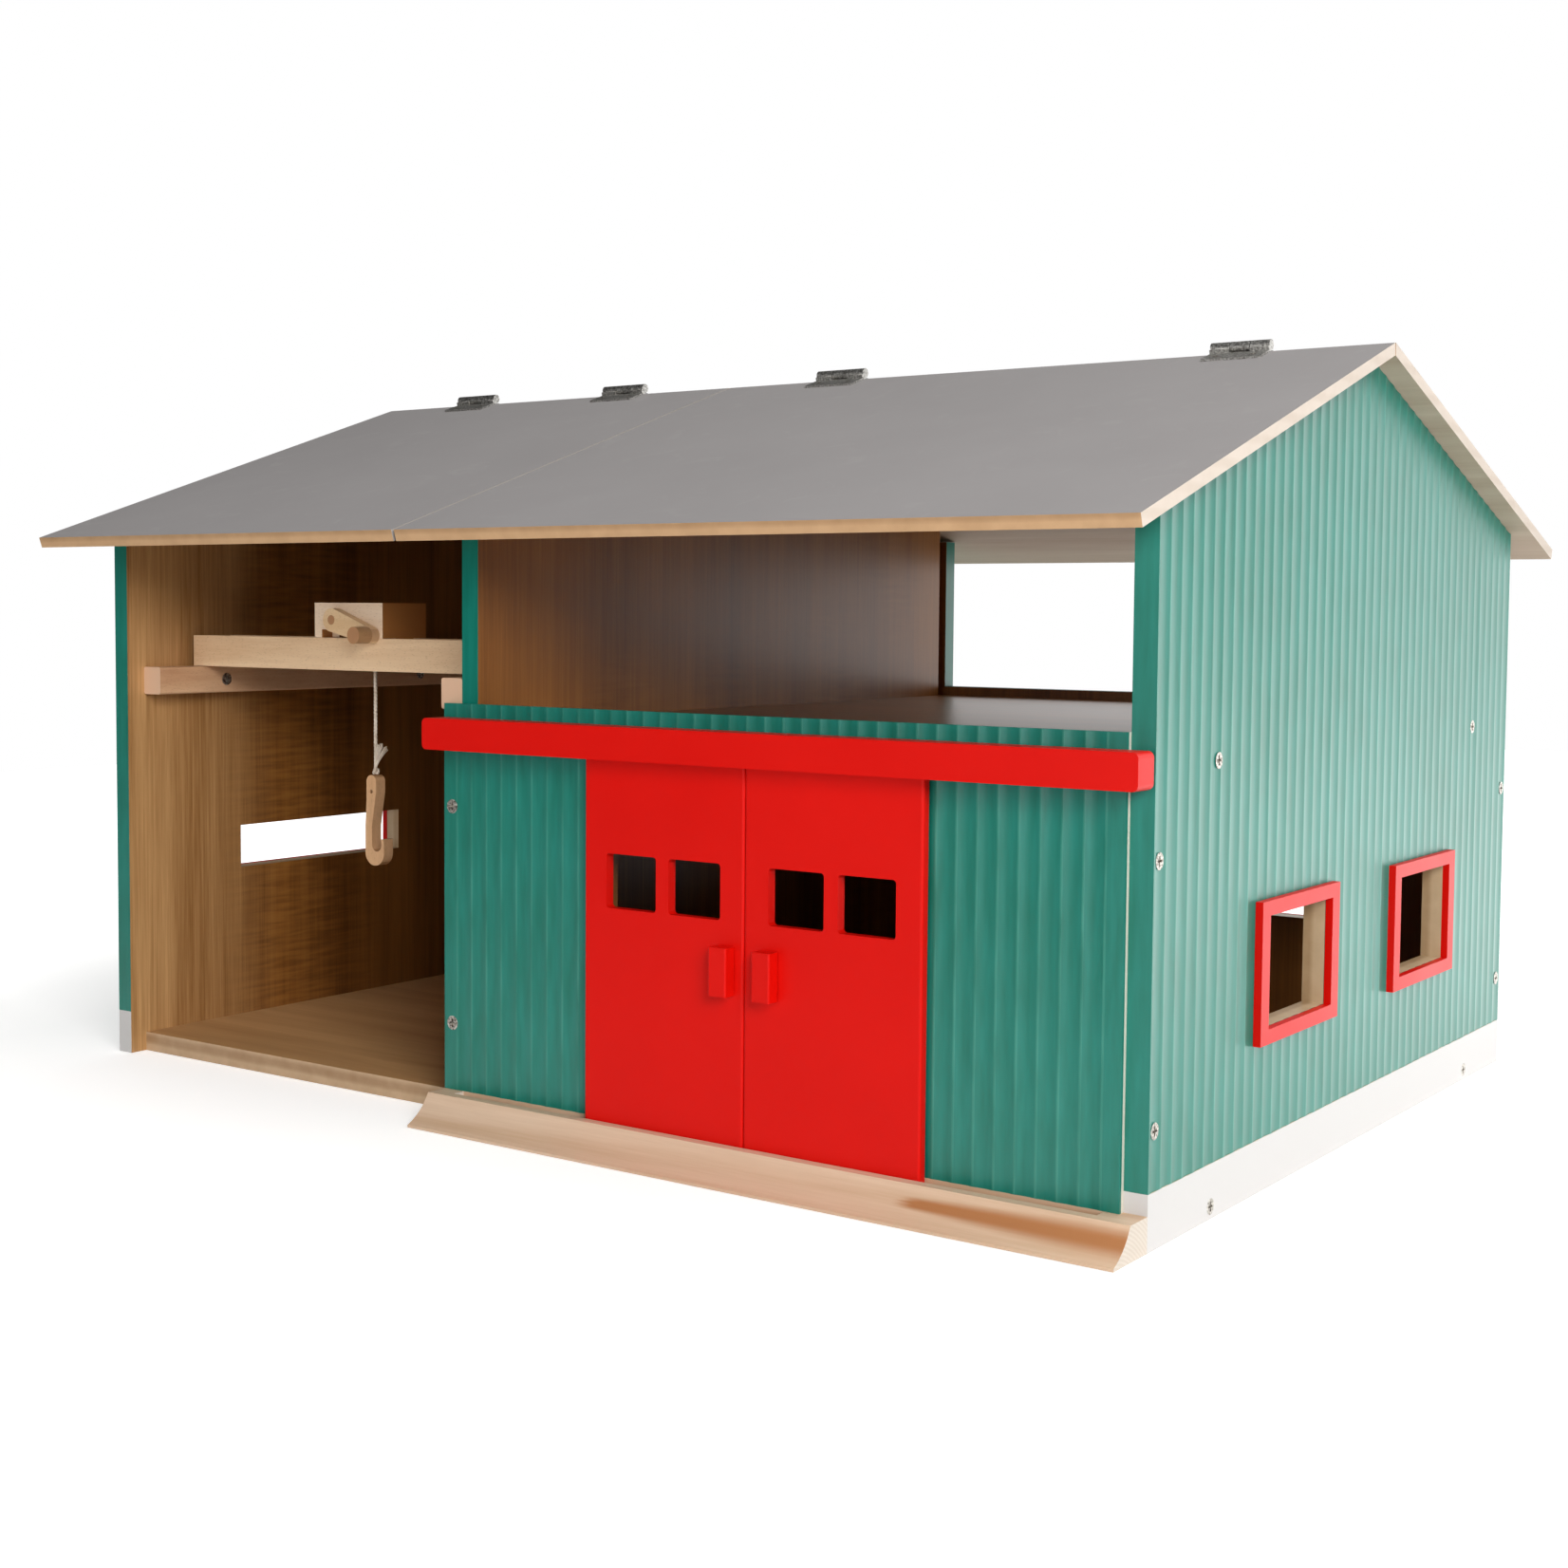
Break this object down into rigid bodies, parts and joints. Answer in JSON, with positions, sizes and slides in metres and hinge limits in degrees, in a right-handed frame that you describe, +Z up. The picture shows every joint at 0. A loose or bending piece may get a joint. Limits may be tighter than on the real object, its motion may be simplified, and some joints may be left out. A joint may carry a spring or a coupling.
{
  "type": "toy barn with opening doors",
  "caption": "Wooden toy machinery shed with an open bay, overhead crane with winch and hook, sliding workshop doors, a loft and lifting roof flaps.",
  "frame": {"origin": "middle of the overall footprint, on the surface the shed stands on", "axes": "+Z up, -Y is the front with the doors, +X is the viewer's right when facing the front"},
  "size_m": [0.751, 0.62, 0.441],
  "materials": {
    "green_paint": "satin green paint",
    "red_paint": "semi-gloss red paint",
    "roof_board": "matt grey coating",
    "bare_pine": "bare sanded pine",
    "beech": "bare sanded beech",
    "veneered_board": "satin veneer",
    "floor_board": "bare plywood",
    "screw_steel": "zinc plated",
    "hinge_steel": "pressed zinc-plated steel",
    "rope": "twisted natural cotton"
  },
  "bodies": {
    "shed": {"base_board": "floor_board", "left_gable": "green_paint", "right_gable": "green_paint", "rear_wall": "green_paint", "lower_partition": "veneered_board", "upper_partition": "veneered_board", "loft_floor": "veneered_board", "front_wall": "veneered_board", "front_cladding": "green_paint", "header_rail": "red_paint", "door_sill": "bare_pine", "rear_roof_panel": "roof_board", "rear_hinge_leaves": "hinge_steel", "hinge_pins": "hinge_steel", "rear_hinge_screws": "screw_steel", "rear_roof_screws": "screw_steel", "front_side_window_frame": "red_paint", "rear_side_window_frame": "red_paint", "back_window_frame": "red_paint", "slot_window_frame": "red_paint", "left_crane_rail": "beech", "right_crane_rail": "beech", "crane_rail_screws": "screw_steel", "left_gable_screws": "screw_steel", "right_gable_screws": "screw_steel", "cladding_screws": "screw_steel"},
    "left_roof_flap": {"left_roof_flap": "roof_board", "left_flap_hinge_leaves": "hinge_steel", "left_flap_screws": "screw_steel"},
    "right_roof_flap": {"right_roof_flap": "roof_board", "right_flap_hinge_leaves": "hinge_steel", "right_flap_screws": "screw_steel"},
    "left_door": {"left_door": "red_paint", "left_door_handle": "red_paint"},
    "right_door": {"right_door": "red_paint", "right_door_handle": "red_paint"},
    "crane_bridge": {"crane_front_beam": "beech", "crane_rear_beam": "beech", "crane_left_end_plate": "beech", "crane_right_end_plate": "beech"},
    "trolley": {"trolley_block": "beech"},
    "winch": {"winch_drum": "beech", "wound_rope": "rope", "crank_arm": "beech", "crank_knob": "beech"},
    "hoist_line": {"hoist_rope": "rope"},
    "hook": {"lifting_hook": "beech", "rope_knot": "rope"}
  },
  "joints": [
    {"name": "left_roof_flap_hinge", "type": "hinge", "parent": "shed", "child": "left_roof_flap", "pos_m": [-0.2205, 0, 0.43798], "axis": [-1, 0, 0], "range_deg": [0, 215]},
    {"name": "right_roof_flap_hinge", "type": "hinge", "parent": "shed", "child": "right_roof_flap", "pos_m": [0.1555, 0, 0.43798], "axis": [-1, 0, 0], "range_deg": [0, 215]},
    {"name": "left_door_slide", "type": "slide", "parent": "shed", "child": "left_door", "axis": [-1, 0, 0], "range_m": [0, 0.093]},
    {"name": "right_door_slide", "type": "slide", "parent": "shed", "child": "right_door", "axis": [1, 0, 0], "range_m": [0, 0.093]},
    {"name": "bridge_travel", "type": "slide", "parent": "shed", "child": "crane_bridge", "axis": [0, 1, 0], "range_m": [-0.036, 0.39]},
    {"name": "trolley_travel", "type": "slide", "parent": "crane_bridge", "child": "trolley", "axis": [1, 0, 0], "range_m": [-0.094, 0.102]},
    {"name": "winch_crank", "type": "hinge", "parent": "trolley", "child": "winch", "pos_m": [-0.2096, -0.1937, 0.2814], "axis": [0, -1, 0], "range_deg": [-870, 455]},
    {"name": "hook_swing", "type": "hinge", "parent": "trolley", "child": "hoist_line", "pos_m": [-0.2096, -0.1882, 0.2814], "axis": [0, -1, 0], "range_deg": [-10, 4.5]},
    {"name": "hoist", "type": "slide", "parent": "hoist_line", "child": "hook", "axis": [0, 0, 1], "range_m": [-0.1095, 0.0575], "deforming": ["hoist_rope"]}
  ],
  "couplings": [
    {"joint": "hoist", "follows": "winch_crank", "m_per_rad": 0.0072}
  ]
}
